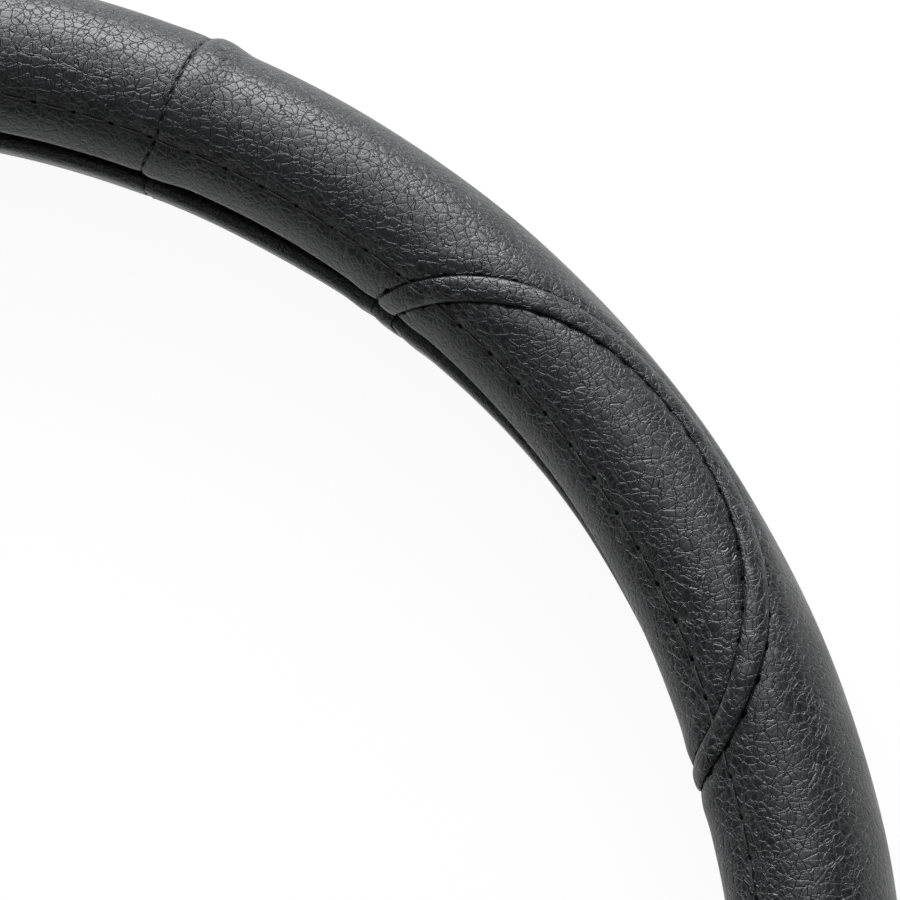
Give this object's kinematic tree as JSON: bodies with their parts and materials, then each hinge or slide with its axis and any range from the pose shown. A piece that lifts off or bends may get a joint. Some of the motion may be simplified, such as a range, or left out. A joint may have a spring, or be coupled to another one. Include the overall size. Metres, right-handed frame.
{
  "type": "steering wheel cover",
  "caption": "Stretch-on steering wheel cover: a leather-look ring with an open inner slot, hemmed lips, sewn panels and grips framed by raised piping.",
  "frame": {"origin": "middle of the ring, on the plane of its flat back", "axes": "+Z out of the front face, +Y to the top of the ring with the grips at ten and two o'clock, +X to the right as seen from the front"},
  "size_m": [0.38, 0.38, 0.0365],
  "materials": {
    "leather": "grained satin, charcoal black",
    "piping": "grained satin, charcoal black, padded",
    "rubber": "moulded, matte black"
  },
  "bodies": {
    "root": {"inner_ring": "rubber", "top_panel": "leather", "bottom_panel": "leather", "right_panel": "leather", "left_panel": "leather", "right_front_grip": "leather", "right_rear_grip": "leather", "left_front_grip": "leather", "left_rear_grip": "leather", "right_front_piping": "piping", "right_rear_piping": "piping", "left_front_piping": "piping", "left_rear_piping": "piping"}
  },
  "joints": []
}
